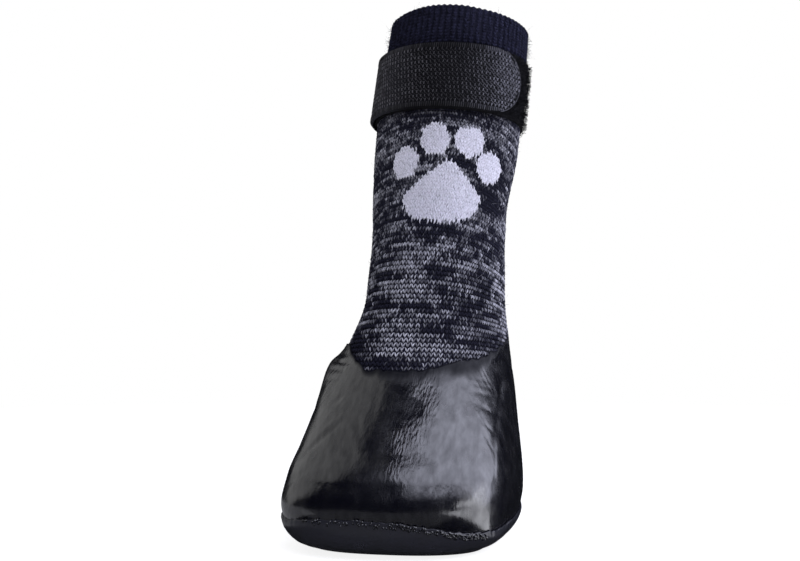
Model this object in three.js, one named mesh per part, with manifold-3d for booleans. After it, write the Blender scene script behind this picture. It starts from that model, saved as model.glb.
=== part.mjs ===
// A dog sock: a knitted tube with a closed foot, dipped in rubber up to the instep, with a thicker
// rubber sole and a hook-and-loop strap round the leg under its ribbed cuff.
// Millimetres, +Z up. It stands on its sole at z = 0, the toe points to -Y, and the origin lies under
// the middle of the whole sock.
import * as THREE from "three";
import { mergeVertices } from "three/addons/utils/BufferGeometryUtils.js";
import Module from "manifold-3d";

const wasm = await Module();
wasm.setup();

// Driving dimensions
const FOOT_LENGTH = 105; // toe to heel, over the knit
const BALL_WIDTH = 60.4; // across the widest part of the foot, over the knit
const INSTEP_HEIGHT = 98; // floor to where the instep turns up into the leg
const LEG_HEIGHT = 56; // from there to the middle of the rim
const LEG_LEAN = 11; // degrees that the leg leans back
const ANKLE_Y = 28.4; // the leg's axis at the instep, behind the origin

// Thicknesses and clearances
const KNIT_WALL = 2;
const CUFF_STEP = 0.5; // how far the ribbed cuff stands out
const RUBBER_WALL = 1;
const SOLE_THICKNESS = 2.5;
const SOLE_PROUD = 2; // the sole's rim, from the knit outwards
const BAND_WALL = 1.2;
const TAB_WALL = 1;
const GAP = 0.3;

// Heights of the edges
const SOLE_LINE = 10.5; // upper edge of the sole's rim
const DIP_HEIGHT = 59; // upper edge of the rubber, beside the leg's axis
const DIP_SLOPE = 8.6; // degrees that this edge falls towards the toe
const STRAP_LOW = 121.5;
const STRAP_HIGH = 141.5;
const CUFF_LOW = 142.8;

// The tab's two ends, as angles round the leg: 0 is the +X side and -90 the front
const TAB_SEWN_END = -200;
const TAB_FREE_END = -19.5;
const TAB_ROUNDING = 12.5; // length of the rounded free end

// Fineness of the facets
const SEGMENTS = 48; // round each section
const STEPS_PER_ROW = 2; // sections between two rows of the table
const STRAP_STEPS = 2;
const TAB_ROWS = 10;
const TAB_BODY_COLUMNS = 20;
const TAB_END_COLUMNS = 5;

const KNIT_BOTTOM = SOLE_THICKNESS + GAP;
const LEG_TOP = INSTEP_HEIGHT + LEG_HEIGHT;
const FORM_TOP = 0.86 * INSTEP_HEIGHT; // of the forms that the foot's rubber is cut from

const radians = THREE.MathUtils.degToRad;

// The foot, from its underside to the instep, a row for each section.
// rise is a share of the height up to the instep. toe, ball and heel are shares of the foot's length:
// the reach ahead of the leg's axis, the widest line ahead of it, and the reach behind it. width is a
// share of the ball's width, lean is in degrees and sway in mm. toeFull and heelFull say how square
// the two ends are, where 2 is an ellipse.
const FOOT = [
  ["rise", "toe", "ball", "heel", "width", "lean", "sway", "toeFull", "heelFull"],
  [0.0, 0.686, 0.514, 0.086, 0.755, 0, 0.1, 2.5, 2.3],
  [0.018, 0.757, 0.514, 0.133, 0.887, 0, 0.1, 2.5, 2.3],
  [0.055, 0.81, 0.514, 0.157, 0.967, 0, 0, 2.5, 2.3],
  [0.112, 0.831, 0.514, 0.169, 1.0, 0, 0.1, 2.5, 2.3],
  [0.181, 0.814, 0.505, 0.17, 0.974, 0, 0.6, 2.5, 2.3],
  [0.265, 0.757, 0.457, 0.165, 0.917, 0, 0.9, 2.4, 2.3],
  [0.391, 0.667, 0.343, 0.162, 0.841, 0, 0.8, 2.3, 2.2],
  [0.548, 0.543, 0.2, 0.157, 0.748, 1.5, 1.1, 2.2, 2.1],
  [0.706, 0.41, 0.086, 0.167, 0.675, 4, 0.8, 2.1, 2],
  [0.853, 0.295, 0.029, 0.187, 0.662, 7.5, 0.5, 2, 2],
  [1.0, 0.212, 0, 0.206, 0.682, 10, 0.7, 2, 2],
];

// The leg above the instep. rise is a share of the leg's height, and width, depth and sway are in mm.
const LEG = [
  ["rise", "width", "depth", "sway"],
  [0.304, 44, 42.8, 1.1],
  [0.661, 43.6, 42.8, 2.5],
  [1.0, 42.0, 41.6, 4.0],
];

// Rows of a table as objects with its column names
function rowsOf([names, ...rows]) {
  return rows.map((row) => Object.fromEntries(names.map((name, i) => [name, row[i]])));
}

function footSection(row) {
  return {
    level: KNIT_BOTTOM + row.rise * (INSTEP_HEIGHT - KNIT_BOTTOM),
    centre: -row.ball * FOOT_LENGTH,
    front: (row.toe - row.ball) * FOOT_LENGTH,
    rear: (row.heel + row.ball) * FOOT_LENGTH,
    side: (row.width * BALL_WIDTH) / 2,
    lean: row.lean,
    sway: row.sway,
    frontFull: row.toeFull,
    rearFull: row.heelFull,
  };
}

function legSection(row) {
  const height = row.rise * LEG_HEIGHT;
  return {
    level: INSTEP_HEIGHT + height,
    centre: height * Math.tan(radians(LEG_LEAN)),
    front: row.depth / 2,
    rear: row.depth / 2,
    side: row.width / 2,
    lean: LEG_LEAN,
    sway: row.sway,
    frontFull: 2,
    rearFull: 2,
  };
}

const SECTIONS = [...rowsOf(FOOT).map(footSection), ...rowsOf(LEG).map(legSection)];

// A smooth curve through one column of the sections that never swings past its rows
function columnCurve(name) {
  const x = SECTIONS.map((section) => section.level);
  const y = SECTIONS.map((section) => section[name]);
  const last = x.length - 1;
  const slope = x.slice(1).map((level, i) => (y[i + 1] - y[i]) / (level - x[i]));
  const tangent = x.map((_, i) => {
    const before = slope[Math.max(i - 1, 0)];
    const after = slope[Math.min(i, last - 1)];
    return before * after > 0 ? (2 * before * after) / (before + after) : 0;
  });
  return (level) => {
    const next = x.findIndex((row) => row >= level);
    const i = next < 0 ? last - 1 : Math.max(next - 1, 0);
    const span = x[i + 1] - x[i];
    const s = (level - x[i]) / span;
    const blend = s * s * (3 - 2 * s);
    const bulge = s * (1 - s) * span;
    return y[i] + (y[i + 1] - y[i]) * blend + bulge * ((1 - s) * tangent[i] - s * tangent[i + 1]);
  };
}

const CURVES = Object.fromEntries(Object.keys(SECTIONS[0]).map((name) => [name, columnCurve(name)]));

// A power that keeps the sign, for the rounded outline of a section
const signedPower = (value, power) => Math.sign(value) * Math.abs(value) ** power;

// A point of the knit's outer face: level names the section and angle goes round it
function lastPoint(level, angle) {
  const at = (name) => CURVES[name](level);
  const across = Math.cos(angle);
  const along = Math.sin(angle);
  const isFront = along < 0;
  const power = 2 / at(isFront ? "frontFull" : "rearFull");
  const reach = at(isFront ? "front" : "rear") * signedPower(along, power);
  const lean = radians(at("lean"));
  return new THREE.Vector3(
    at("sway") + at("side") * signedPower(across, power),
    ANKLE_Y + at("centre") + reach * Math.cos(lean),
    level - reach * Math.sin(lean),
  );
}

// The same point moved off the face along its normal
function offsetPoint(level, angle, offset) {
  const stepRound = 0.02;
  const stepUp = 0.4;
  const lower = Math.max(level - stepUp, KNIT_BOTTOM);
  const upper = Math.min(level + stepUp, LEG_TOP);
  const round = lastPoint(level, angle + stepRound).sub(lastPoint(level, angle - stepRound));
  const up = lastPoint(upper, angle).sub(lastPoint(lower, angle));
  const normal = round.cross(up).normalize();
  return lastPoint(level, angle).addScaledVector(normal, offset);
}

function ringAt(level, offset) {
  const angles = evenSteps(0, 2 * Math.PI, SEGMENTS).slice(1);
  return angles.map((angle) => offsetPoint(level, angle, offset));
}

// The lowest ring, laid flat at the height of a floor
function floorRing(offset, floor) {
  return ringAt(KNIT_BOTTOM, offset).map((point) => point.setZ(floor));
}

// Numbers from one end of a range to the other, in even steps
function evenSteps(from, to, steps) {
  return Array.from({ length: steps + 1 }, (_, i) => THREE.MathUtils.lerp(from, to, i / steps));
}

// The levels above the knit's underside: those of the table, with even steps between them
function levelsUpTo(top) {
  const rows = SECTIONS.map((section) => section.level);
  const levels = rows.slice(1).flatMap((level, i) => evenSteps(rows[i], level, STEPS_PER_ROW).slice(1));
  return levels.filter((level) => level <= top + GAP);
}

function geometryFrom(points, triangles) {
  const geometry = new THREE.BufferGeometry();
  geometry.setAttribute("position", new THREE.Float32BufferAttribute(points.flatMap((p) => p.toArray()), 3));
  geometry.setIndex(triangles);
  return geometry;
}

// A closed skin over a row of rings. Its two ends are capped, or joined where the row is a loop.
function loft(rings, isLoop = false) {
  const count = rings[0].length;
  const points = rings.flat();
  const triangles = [];
  const bands = isLoop ? rings.length : rings.length - 1;
  for (let r = 0; r < bands; r++) {
    const low = r * count;
    const high = ((r + 1) % rings.length) * count;
    for (let i = 0; i < count; i++) {
      const j = (i + 1) % count;
      triangles.push(low + i, low + j, high + j, low + i, high + j, high + i);
    }
  }
  if (!isLoop) {
    const end = (rings.length - 1) * count;
    const centreOf = (ring) => ring.reduce((sum, p) => sum.add(p), new THREE.Vector3()).divideScalar(count);
    const first = points.push(centreOf(rings[0])) - 1;
    const last = points.push(centreOf(rings.at(-1))) - 1;
    for (let i = 0; i < count; i++) {
      const j = (i + 1) % count;
      triangles.push(first, j, i, last, end + i, end + j);
    }
  }
  return geometryFrom(points, triangles);
}

// A solid for the cuts, from the positions of a closed mesh
function toSolid(geometry) {
  const bare = new THREE.BufferGeometry();
  bare.setAttribute("position", geometry.getAttribute("position"));
  bare.setIndex(geometry.getIndex());
  const merged = mergeVertices(bare, 1e-4);
  const vertProperties = new Float32Array(merged.getAttribute("position").array);
  const triVerts = new Uint32Array(merged.getIndex().array);
  return new wasm.Manifold(new wasm.Mesh({ numProp: 3, vertProperties, triVerts }));
}

function toGeometry(solid) {
  const { vertProperties, triVerts } = solid.getMesh();
  const geometry = new THREE.BufferGeometry();
  geometry.setAttribute("position", new THREE.Float32BufferAttribute(vertProperties, 3));
  geometry.setIndex(Array.from(triVerts));
  return geometry;
}

// The foot as a filled form, some way outside the knit and closed at its floor. offsetAt gives that
// distance at a level.
function footForm(offsetAt, floor) {
  const rings = levelsUpTo(FORM_TOP).map((level) => ringAt(level, offsetAt(level)));
  return toSolid(loft([floorRing(offsetAt(KNIT_BOTTOM), floor), ...rings]));
}

// Everything from a level edge up to one that falls towards the toe by a slope in degrees
function slab(low, high, slope) {
  const front = ANKLE_Y - FOOT_LENGTH;
  const back = ANKLE_Y + FOOT_LENGTH / 2;
  const highAt = (y) => high + (y - ANKLE_Y) * Math.tan(radians(slope));
  const outline = new THREE.Shape([
    new THREE.Vector2(front, low),
    new THREE.Vector2(back, low),
    new THREE.Vector2(back, highAt(back)),
    new THREE.Vector2(front, highAt(front)),
  ]);
  const block = new THREE.ExtrudeGeometry(outline, { depth: 2 * BALL_WIDTH, bevelEnabled: false });
  block.translate(0, 0, -BALL_WIDTH);
  block.rotateX(Math.PI / 2).rotateZ(Math.PI / 2);
  return toSolid(block);
}

// The knitted tube, outside and inside in one skin, with the cuff as a step in its outer face
function knitSock() {
  const cuffEdge = 0.3;
  const levels = levelsUpTo(LEG_TOP);
  const outer = [...levels, CUFF_LOW - cuffEdge, CUFF_LOW + cuffEdge].sort((a, b) => a - b);
  const inner = [...levels].reverse();
  return loft([
    floorRing(0, KNIT_BOTTOM),
    ...outer.map((level) => ringAt(level, level > CUFF_LOW ? CUFF_STEP : 0)),
    ...inner.map((level) => ringAt(level, -KNIT_WALL)),
    floorRing(-KNIT_WALL, KNIT_BOTTOM + KNIT_WALL),
  ]);
}

// The dipped shell, cut between two forms of the foot and between the sole line and the dip line
function rubberFoot() {
  const outer = footForm(() => GAP + RUBBER_WALL, KNIT_BOTTOM - GAP - RUBBER_WALL);
  const inner = footForm(() => GAP, KNIT_BOTTOM - GAP);
  return toGeometry(outer.subtract(inner).intersect(slab(SOLE_LINE + GAP, DIP_HEIGHT, DIP_SLOPE)));
}

// The sole's cup: flat underneath, thinning up to a rim that stands proud of the rubber above it
function soleCup() {
  const rimShare = (level) => Math.min((level - KNIT_BOTTOM) / (SOLE_LINE - KNIT_BOTTOM), 1);
  const outer = footForm((level) => THREE.MathUtils.lerp(KNIT_BOTTOM, SOLE_PROUD, rimShare(level)), 0);
  const inner = footForm(() => GAP, KNIT_BOTTOM - GAP);
  return toGeometry(outer.subtract(inner).intersect(slab(-GAP, SOLE_LINE, 0)));
}

// The loop tape, a closed band round the leg
function strapBand() {
  const levels = evenSteps(STRAP_LOW, STRAP_HIGH, STRAP_STEPS);
  const outer = levels.map((level) => ringAt(level, GAP + BAND_WALL));
  const inner = levels.toReversed().map((level) => ringAt(level, GAP));
  return loft([...outer, ...inner], true);
}

// The hook tape: from its sewn end round the front of the band to its rounded free end
function strapTab() {
  const innerFace = GAP + BAND_WALL + GAP;
  const middle = (STRAP_LOW + STRAP_HIGH) / 2;
  const halfHeight = (STRAP_HIGH - STRAP_LOW) / 2;
  const legRadius = rowsOf(LEG)[1].width / 2;
  const rounding = TAB_ROUNDING / legRadius;
  const bodyEnd = radians(TAB_FREE_END) - rounding * 1.1; // just short of where the rounding starts
  const body = evenSteps(radians(TAB_SEWN_END), bodyEnd, TAB_BODY_COLUMNS);
  // A turn goes round the free end, from its lower to its upper corner
  const rows = evenSteps(-Math.PI / 2, Math.PI / 2, TAB_ROWS).map((turn) => {
    const end = radians(TAB_FREE_END) - rounding * (1 - Math.cos(turn));
    const angles = [...body, ...evenSteps(bodyEnd, end, TAB_END_COLUMNS).slice(1)];
    return { level: middle + halfHeight * Math.sin(turn), angles };
  });
  // Each cross-section of the tape is a ring: up its inner face and down its outer face
  const column = (i, offset) => rows.map(({ level, angles }) => offsetPoint(level, angles[i], offset));
  const columns = TAB_BODY_COLUMNS + TAB_END_COLUMNS + 1;
  const sections = Array.from({ length: columns }, (_, i) => [
    ...column(i, innerFace),
    ...column(i, innerFace + TAB_WALL).reverse(),
  ]);
  return ribbon(sections);
}

// A closed skin along flat cross-sections, with each end closed as a ladder of quads
function ribbon(sections) {
  const count = sections[0].length;
  const points = sections.flat();
  const triangles = [];
  for (let s = 0; s < sections.length - 1; s++) {
    for (let i = 0; i < count; i++) {
      const j = (i + 1) % count;
      const here = s * count;
      const next = here + count;
      triangles.push(here + i, here + j, next + j, here + i, next + j, next + i);
    }
  }
  const end = (sections.length - 1) * count;
  for (let i = 0; i < count / 2 - 1; i++) {
    const [a, b, c, d] = [i, i + 1, count - 2 - i, count - 1 - i];
    triangles.push(a, d, c, a, c, b);
    triangles.push(end + a, end + b, end + c, end + a, end + c, end + d);
  }
  return geometryFrom(points, triangles);
}

// The sock, a mesh for each piece
const sock = new THREE.Group();

function addPiece(name, geometry, color, roughness) {
  const mesh = new THREE.Mesh(geometry, new THREE.MeshStandardMaterial({ color, roughness, metalness: 0 }));
  mesh.name = name;
  sock.add(mesh);
}

addPiece("knit_sock", knitSock(), 0x3a3c4a, 0.95);
addPiece("rubber_foot", rubberFoot(), 0x121316, 0.25);
addPiece("sole", soleCup(), 0x1a1c22, 0.35);
addPiece("strap_band", strapBand(), 0x15161a, 0.95);
addPiece("strap_tab", strapTab(), 0x2b2b2e, 0.7);

export default sock;
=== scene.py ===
"""The looks of the dog sock: knitted leg, dipped rubber foot, sole and hook-and-loop strap.

Sizes are millimetres in the part's own frame (+Z up, toe to -Y) until a mesh is made. A place on the sock's
skin is a level, which names the section, and a share of the way round it: 0 is the back, 0.25 the -X side,
0.5 the front and 0.75 the +X side.
"""
import math

import bpy
import numpy as np
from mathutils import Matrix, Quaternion, Vector


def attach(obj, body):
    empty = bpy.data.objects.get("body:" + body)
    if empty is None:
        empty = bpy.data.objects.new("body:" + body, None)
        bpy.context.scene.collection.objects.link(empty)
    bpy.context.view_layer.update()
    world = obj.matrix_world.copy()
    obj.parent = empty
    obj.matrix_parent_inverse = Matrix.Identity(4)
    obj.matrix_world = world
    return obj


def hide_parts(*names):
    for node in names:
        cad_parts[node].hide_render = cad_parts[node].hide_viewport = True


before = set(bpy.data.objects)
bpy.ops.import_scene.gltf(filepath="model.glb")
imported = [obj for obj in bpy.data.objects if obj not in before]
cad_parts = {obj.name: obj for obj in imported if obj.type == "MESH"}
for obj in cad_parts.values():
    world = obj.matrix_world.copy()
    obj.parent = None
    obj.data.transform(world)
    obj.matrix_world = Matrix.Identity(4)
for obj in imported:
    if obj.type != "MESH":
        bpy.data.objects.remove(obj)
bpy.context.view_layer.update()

MM = 0.001
BODY = "root"
FULL_TURN = 2 * math.pi

# Driving sizes of the solids
FOOT_LENGTH = 105.0
BALL_WIDTH = 60.4
INSTEP_HEIGHT = 98.0
LEG_HEIGHT = 56.0
LEG_LEAN = 11.0
ANKLE_Y = 28.4
KNIT_BOTTOM = 2.8
LEG_TOP = INSTEP_HEIGHT + LEG_HEIGHT
KNIT_WALL = 2.0
CUFF_STEP = 0.5
SOLE_LINE = 10.5
SOLE_PROUD = 2.0
DIP_HEIGHT = 59.0
DIP_SLOPE = math.tan(math.radians(8.6))
RUBBER_OUTER = 1.3
STRAP_LOW = 121.5
STRAP_HIGH = 141.5
STRAP_MIDDLE = (STRAP_LOW + STRAP_HIGH) / 2
STRAP_HALF = (STRAP_HIGH - STRAP_LOW) / 2
BAND_INNER = 0.3
BAND_OUTER = 1.5
TAB_INNER = 1.8
TAB_OUTER = 2.8
TAB_SEWN_END = math.radians(-200)
TAB_FREE_END = math.radians(-19.5)
TAB_ROUNDING = 12.5
CUFF_LOW = 142.8
ELLIPSE = 2.0  # the fullness of a section that is an ellipse

# The foot: rise, toe, ball, heel and width as shares of its sizes, then lean, sway and two fullnesses
FOOT = np.array([
    [0.0, 0.686, 0.514, 0.086, 0.755, 0, 0.1, 2.5, 2.3],
    [0.018, 0.757, 0.514, 0.133, 0.887, 0, 0.1, 2.5, 2.3],
    [0.055, 0.81, 0.514, 0.157, 0.967, 0, 0, 2.5, 2.3],
    [0.112, 0.831, 0.514, 0.169, 1.0, 0, 0.1, 2.5, 2.3],
    [0.181, 0.814, 0.505, 0.17, 0.974, 0, 0.6, 2.5, 2.3],
    [0.265, 0.757, 0.457, 0.165, 0.917, 0, 0.9, 2.4, 2.3],
    [0.391, 0.667, 0.343, 0.162, 0.841, 0, 0.8, 2.3, 2.2],
    [0.548, 0.543, 0.2, 0.157, 0.748, 1.5, 1.1, 2.2, 2.1],
    [0.706, 0.41, 0.086, 0.167, 0.675, 4, 0.8, 2.1, 2],
    [0.853, 0.295, 0.029, 0.187, 0.662, 7.5, 0.5, 2, 2],
    [1.0, 0.212, 0, 0.206, 0.682, 10, 0.7, 2, 2],
])
# The leg above the instep: a share of its height, then width, depth and sway
LEG = np.array([
    [0.304, 44, 42.8, 1.1],
    [0.661, 43.6, 42.8, 2.5],
    [1.0, 42.0, 41.6, 4.0],
])


# The form of the knit

def foot_sections():
    """Rows of level, centre, reach to the front and the rear, half width, lean, sway and two fullnesses."""
    rise, toe, ball, heel, width, lean, sway, toe_full, heel_full = FOOT.T
    level = KNIT_BOTTOM + rise * (INSTEP_HEIGHT - KNIT_BOTTOM)
    front, rear = (toe - ball) * FOOT_LENGTH, (heel + ball) * FOOT_LENGTH
    side = width * BALL_WIDTH / 2
    return np.stack([level, -ball * FOOT_LENGTH, front, rear, side, lean, sway, toe_full, heel_full], axis=1)


def leg_sections():
    rise, width, depth, sway = LEG.T
    height = rise * LEG_HEIGHT
    level, centre = INSTEP_HEIGHT + height, height * math.tan(math.radians(LEG_LEAN))
    half, side = depth / 2, width / 2
    lean, full = np.full(len(LEG), LEG_LEAN), np.full(len(LEG), ELLIPSE)
    return np.stack([level, centre, half, half, side, lean, sway, full, full], axis=1)


SECTIONS = np.vstack([foot_sections(), leg_sections()])
SECTION_LEVELS = SECTIONS[:, 0]


def section_tangents():
    """Slopes for a curve through the sections that never swings past its rows."""
    slope = np.diff(SECTIONS, axis=0) / np.diff(SECTION_LEVELS)[:, None]
    before = np.vstack([slope[:1], slope])
    after = np.vstack([slope, slope[-1:]])
    total = np.where(before * after > 0, before + after, 1.0)
    return np.where(before * after > 0, 2 * before * after / total, 0.0)


TANGENTS = section_tangents()


def section_at(level):
    i = np.clip(np.searchsorted(SECTION_LEVELS, level) - 1, 0, len(SECTION_LEVELS) - 2)
    span = SECTION_LEVELS[i + 1] - SECTION_LEVELS[i]
    s = ((level - SECTION_LEVELS[i]) / span)[..., None]
    blend = s * s * (3 - 2 * s)
    bulge = s * (1 - s) * span[..., None]
    straight = SECTIONS[i] + (SECTIONS[i + 1] - SECTIONS[i]) * blend
    return np.moveaxis(straight + bulge * ((1 - s) * TANGENTS[i] - s * TANGENTS[i + 1]), -1, 0)


def last_point(level, angle):
    """A point of the knit's outer face. The angle is 0 at the +X side and -90 degrees at the front."""
    level, angle = np.broadcast_arrays(np.asarray(level, float), np.asarray(angle, float))
    _, centre, front, rear, side, lean, sway, front_full, rear_full = section_at(level)
    across, along = np.cos(angle), np.sin(angle)
    is_front = along < 0
    power = 2 / np.where(is_front, front_full, rear_full)
    reach = np.where(is_front, front, rear) * np.sign(along) * np.abs(along) ** power
    lean = np.radians(lean)
    return np.stack([
        sway + side * np.sign(across) * np.abs(across) ** power,
        ANKLE_Y + centre + reach * np.cos(lean),
        level - reach * np.sin(lean),
    ], axis=-1)


TABLE_LEVELS = np.linspace(KNIT_BOTTOM, LEG_TOP, 304)
TABLE_SHARES = np.linspace(0, 1, 721)
BACK_ANGLE = math.pi / 2


def angle_table():
    """The angle at even shares of each ring's length, from the back round to the back, and those lengths."""
    turn = BACK_ANGLE + FULL_TURN * TABLE_SHARES
    ring = last_point(TABLE_LEVELS[:, None], turn[None, :])
    steps = np.linalg.norm(np.diff(ring, axis=1), axis=2)
    run = np.concatenate([np.zeros((len(ring), 1)), np.cumsum(steps, axis=1)], axis=1)
    angles = [np.interp(TABLE_SHARES * row[-1], row, turn) for row in run]
    return np.array(angles), run[:, -1]


ANGLES, RING_LENGTHS = angle_table()


def ring_length(level):
    return np.interp(level, TABLE_LEVELS, RING_LENGTHS)


def between(grid, j, i, fy, fx, next_j, next_i):
    """A value between four neighbours of a grid."""
    low = grid[j, i] * (1 - fx) + grid[j, next_i] * fx
    high = grid[next_j, i] * (1 - fx) + grid[next_j, next_i] * fx
    return low * (1 - fy) + high * fy


def angle_at(share, level):
    turns = np.floor(share)
    x = (share - turns) * (len(TABLE_SHARES) - 1)
    y = np.clip((level - KNIT_BOTTOM) / (LEG_TOP - KNIT_BOTTOM), 0, 1) * (len(TABLE_LEVELS) - 1)
    i = np.minimum(x.astype(int), len(TABLE_SHARES) - 2)
    j = np.minimum(y.astype(int), len(TABLE_LEVELS) - 2)
    return between(ANGLES, j, i, y - j, x - i, j + 1, i + 1) + FULL_TURN * turns


def unit(vectors):
    return vectors / np.linalg.norm(vectors, axis=-1, keepdims=True)


def skin(share, level):
    """A point of the knit's outer face with its outward normal and its upward direction."""
    step_round, step_up = 0.02, 0.4
    share, level = np.broadcast_arrays(np.asarray(share, float), np.asarray(level, float))
    angle = angle_at(share, level)
    lower = last_point(np.maximum(level - step_up, KNIT_BOTTOM), angle)
    upper = last_point(np.minimum(level + step_up, LEG_TOP), angle)
    across = last_point(level, angle + step_round) - last_point(level, angle - step_round)
    normal = unit(np.cross(across, upper - lower))
    return last_point(level, angle), normal, unit(np.cross(normal, across))


def skin_at(share, level, offset):
    point, normal, _ = skin(share, level)
    return point + normal * np.broadcast_to(offset, normal.shape[:-1])[..., None]


def skin_frames(share, level):
    """Points of the outer face with the directions across, up and outward, one frame for each small thing."""
    point, normal, up = skin(share, level)
    return [a[:, None, :] for a in (point, np.cross(up, normal), up, normal)]


def share_of(angle, level):
    """The share at an angle, where the leg is close to round."""
    turn = (angle - BACK_ANGLE) / FULL_TURN
    return turn - np.floor(turn) + 0 * level


def even_shares(columns):
    return np.arange(columns) / columns


def smooth(value, start, end):
    """0 before start, 1 after end and an even S between them."""
    s = np.clip((value - start) / (end - start), 0, 1)
    return s * s * (3 - 2 * s)


def bell(value, middle, half_width):
    """1 at the middle, fading evenly to 0 on both sides."""
    return np.exp(-((value - middle) / half_width) ** 2)


def hills(rows, x, y):
    """The sum of soft hills, each row an x, a y, a half width, a half height and how high it is."""
    total = np.zeros(np.broadcast(x, y).shape)
    for at_x, at_y, half_width, half_height, height in rows:
        total += height * bell(x, at_x, half_width) * bell(y, at_y, half_height)
    return total


NOISE_ROWS = 64


def noise(seed, share, level, cells_round, cell_height):
    """Soft random hills between -1 and 1 that close round the sock."""
    lattice = np.random.default_rng(seed).uniform(-1, 1, (NOISE_ROWS, cells_round))
    share, level = np.broadcast_arrays(share, level)
    x, y = share * cells_round, level / cell_height
    i, j = np.floor(x).astype(int), np.floor(y).astype(int)
    left, right = i % cells_round, (i + 1) % cells_round
    low, high = j % NOISE_ROWS, (j + 1) % NOISE_ROWS
    return between(lattice, low, left, smooth(y - j, 0, 1), smooth(x - i, 0, 1), high, right)


# Meshes from arrays

BAKE_MAP = "OFBake"
COLOUR_NAME = "Col"
GRID_SHARE = 0.86  # of the bake map's height, with the caps above it
CAP_SIZE = 0.13
CAP_GAP = 0.005
CELL_MARGIN = 0.06  # round each like thing in its cell of the bake map
SQUARE = np.array([[0, 0], [1, 0], [1, 1], [0, 1]])


def grid_faces(rows, columns, closes_round=True, closes_up=False):
    """Corner indices and bake coordinates of the quads of a grid of points."""
    across = columns if closes_round else columns - 1
    upward = rows if closes_up else rows - 1
    r, c = np.meshgrid(np.arange(upward), np.arange(across), indexing="ij")
    this_row, next_row = r * columns, (r + 1) % rows * columns
    next_c = (c + 1) % columns
    quads = np.stack([this_row + c, this_row + next_c, next_row + next_c, next_row + c], axis=-1)
    places = np.stack([c, r], axis=-1)[..., None, :] + SQUARE
    uv = places / np.array([across, upward]) * np.array([1, GRID_SHARE])
    return quads.reshape(-1, 4), uv.reshape(-1, 4, 2)


def cap_places(points, number):
    """Bake coordinates of a flat end: its plan, in a small square above the grid."""
    plan = points[:, :2] - points[:, :2].min(axis=0)
    corner = np.array([number * (CAP_SIZE + CAP_GAP), GRID_SHARE + CAP_GAP])
    return plan / plan.max() * CAP_SIZE + corner


def add_to_scene(thing):
    bpy.context.scene.collection.objects.link(thing)


def make_piece(name, points, quads, uv, material, colours=None, caps=()):
    """A mesh object that rides on the sock. caps are rings of indices, each closed by one flat face."""
    mesh = bpy.data.meshes.new(name)
    points = points.reshape(-1, 3)
    corners = np.concatenate([quads.ravel(), *caps]).astype(np.int32)
    sizes = np.concatenate([np.full(len(quads), 4), [len(cap) for cap in caps]]).astype(np.int32)
    starts = np.concatenate([[0], np.cumsum(sizes)[:-1]]).astype(np.int32)
    mesh.vertices.add(len(points))
    mesh.vertices.foreach_set("co", (points * MM).astype(np.float32).ravel())
    mesh.loops.add(len(corners))
    mesh.loops.foreach_set("vertex_index", corners)
    mesh.polygons.add(len(sizes))
    mesh.polygons.foreach_set("loop_start", starts)
    mesh.polygons.foreach_set("use_smooth", np.ones(len(sizes), bool))
    places = [uv.reshape(-1, 2)] + [cap_places(points[cap], i) for i, cap in enumerate(caps)]
    layer = mesh.uv_layers.new(name=BAKE_MAP)
    layer.uv.foreach_set("vector", np.concatenate(places).astype(np.float32).ravel())
    if colours is not None:
        painted = mesh.color_attributes.new(COLOUR_NAME, "FLOAT_COLOR", "POINT")
        solid = np.concatenate([colours.reshape(-1, 3), np.ones((len(points), 1))], axis=1)
        painted.data.foreach_set("color", solid.astype(np.float32).ravel())
    mesh.materials.append(material)
    mesh.update(calc_edges=True)
    piece = bpy.data.objects.new(name, mesh)
    add_to_scene(piece)
    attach(piece, BODY)
    return piece


def make_wall(name, points, material, colours=None, capped=False):
    """A piece from rows of points round the sock. It closes upon itself, or has two flat ends."""
    rows, columns = points.shape[:2]
    quads, uv = grid_faces(rows, columns, closes_up=not capped)
    first = np.arange(columns)
    caps = [first[::-1], (rows - 1) * columns + first] if capped else ()
    return make_piece(name, points, quads, uv, material, colours, caps)


def cell_places(count, quads_uv):
    """Bake coordinates of many like things, each in its own cell of a square chart."""
    per_side = math.ceil(math.sqrt(count))
    cell = np.arange(count)
    corner = np.stack([cell % per_side, cell // per_side], axis=-1)[:, None, None, :]
    return ((corner + CELL_MARGIN + (1 - 2 * CELL_MARGIN) * quads_uv) / per_side).reshape(-1, 4, 2)


def make_many(name, points, faces, material, colours=None):
    """One joined mesh of many like things. points has the shape (count, points of each, 3)."""
    quads, uv = faces
    count, each = points.shape[:2]
    all_quads = (quads[None] + (np.arange(count) * each)[:, None, None]).reshape(-1, 4)
    painted = None if colours is None else np.broadcast_to(colours.reshape(count, -1, 3), points.shape)
    make_piece(name, points, all_quads, cell_places(count, uv), material, painted)


def tube_faces(rings, sides, capped):
    quads, uv = grid_faces(rings, sides)
    if capped:
        ends = np.array([np.arange(sides)[::-1], (rings - 1) * sides + np.arange(sides)])
        places = np.stack([SQUARE * CAP_SIZE + [0, GRID_SHARE], SQUARE * CAP_SIZE + [0.5, GRID_SHARE]])
        quads, uv = np.concatenate([quads, ends]), np.concatenate([uv, places])
    return quads, uv


def circle(sides):
    """The cosines and sines of a ring's points."""
    turn = FULL_TURN * np.arange(sides) / sides
    return np.cos(turn), np.sin(turn)


def tubes(path, radius, side, rise, sides):
    """Rings of points round paths of the shape (count, rings, 3), in the plane of side and rise."""
    cosines, sines = circle(sides)
    ring = cosines[:, None] * side[..., None, :] + sines[:, None] * rise[..., None, :]
    return (path[:, :, None, :] + radius * ring).reshape(len(path), -1, 3)


# Materials

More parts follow.
